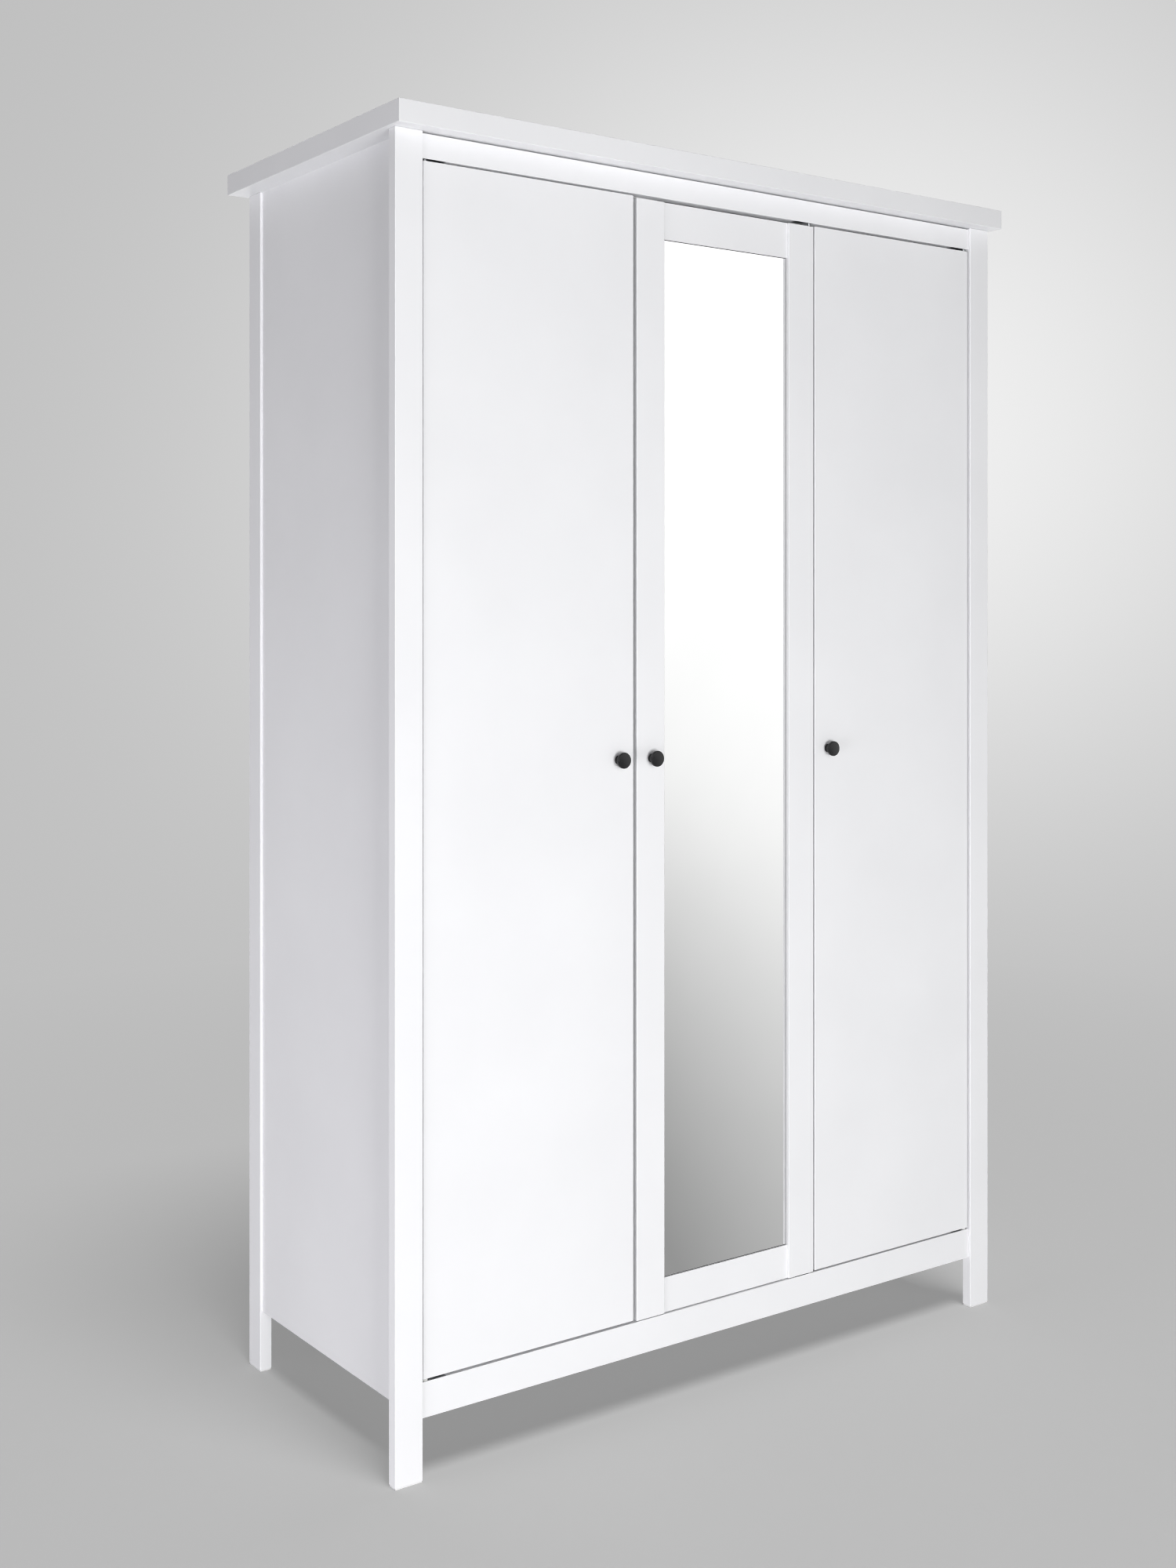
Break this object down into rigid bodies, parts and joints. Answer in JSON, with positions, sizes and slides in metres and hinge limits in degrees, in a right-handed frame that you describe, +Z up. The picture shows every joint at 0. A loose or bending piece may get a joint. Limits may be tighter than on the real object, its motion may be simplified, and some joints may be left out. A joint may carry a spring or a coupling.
{
  "type": "wardrobe",
  "caption": "White wardrobe on four posts with plain outer doors, a framed mirror door in the middle, black knobs and an overhanging cornice.",
  "frame": {"origin": "on the floor, under the middle of the cornice, which is the largest outline in plan", "axes": "+Z up, the doors face -Y, +X to the right of someone facing the doors"},
  "size_m": [1.2, 0.546, 1.9],
  "materials": {
    "white_lacquer": "satin white lacquer on fibreboard",
    "back_board": "thin white-faced hardboard",
    "backing_board": "plain brown hardboard behind the mirror",
    "beech": "plain beech dowel",
    "zinc_steel": "zinc-plated steel",
    "chromed_rail": "bright chromed tube and cups",
    "bush_plastic": "natural nylon",
    "white_plastic": "white moulded plastic",
    "black_knob": "satin black coated metal",
    "mirror": "clear silvered glass"
  },
  "bodies": {
    "carcass": {"back_joint_strip": "white_plastic", "back_panel_left": "back_board", "back_panel_middle": "back_board", "back_panel_nails": "zinc_steel", "back_panel_right": "back_board", "bottom_panel": "white_lacquer", "bottom_rail": "white_lacquer", "cam_bolts": "zinc_steel", "cam_locks": "zinc_steel", "clothes_rail": "chromed_rail", "clothes_rail_brackets": "chromed_rail", "cornice_board": "white_lacquer", "cornice_front_strip": "white_lacquer", "cornice_left_strip": "white_lacquer", "cornice_rear_strip": "white_lacquer", "cornice_right_strip": "white_lacquer", "dowels": "beech", "foot_pads": "white_plastic", "front_post_left": "white_lacquer", "front_post_right": "white_lacquer", "hat_shelf": "white_lacquer", "magnet_catches": "white_plastic", "partition": "white_lacquer", "pivot_plates": "zinc_steel", "rear_post_left": "white_lacquer", "rear_post_right": "white_lacquer", "rear_top_rail": "white_lacquer", "shelf_1": "white_lacquer", "shelf_2": "white_lacquer", "shelf_3": "white_lacquer", "shelf_4": "white_lacquer", "shelf_pins": "zinc_steel", "side_panel_left": "white_lacquer", "side_panel_right": "white_lacquer", "top_panel": "white_lacquer", "top_rail": "white_lacquer", "wood_screws": "zinc_steel"},
    "left_door": {"left_door_bushes": "bush_plastic", "left_door_knob": "black_knob", "left_door_knob_screw": "zinc_steel", "left_door_panel": "white_lacquer", "left_door_strike": "zinc_steel"},
    "centre_door": {"centre_door_bushes": "bush_plastic", "centre_door_dowels": "beech", "centre_door_knob": "black_knob", "centre_door_knob_screw": "zinc_steel", "centre_door_rail_bottom": "white_lacquer", "centre_door_rail_top": "white_lacquer", "centre_door_stile_left": "white_lacquer", "centre_door_stile_right": "white_lacquer", "centre_door_strike": "zinc_steel", "mirror_backing": "backing_board", "mirror_clips": "white_plastic", "mirror_glass": "mirror"},
    "right_door": {"right_door_bushes": "bush_plastic", "right_door_knob": "black_knob", "right_door_knob_screw": "zinc_steel", "right_door_panel": "white_lacquer", "right_door_strike": "zinc_steel"}
  },
  "joints": [
    {"name": "left_door_hinge", "type": "hinge", "parent": "carcass", "child": "left_door", "pos_m": [-0.5395, -0.2395, 0.9817], "axis": [0, 0, -1], "range_deg": [0, 100]},
    {"name": "centre_door_hinge", "type": "hinge", "parent": "carcass", "child": "centre_door", "pos_m": [0.179, -0.2395, 0.9817], "axis": [0, 0, 1], "range_deg": [0, 90]},
    {"name": "right_door_hinge", "type": "hinge", "parent": "carcass", "child": "right_door", "pos_m": [0.5395, -0.2395, 0.9817], "axis": [0, 0, 1], "range_deg": [0, 100]}
  ]
}
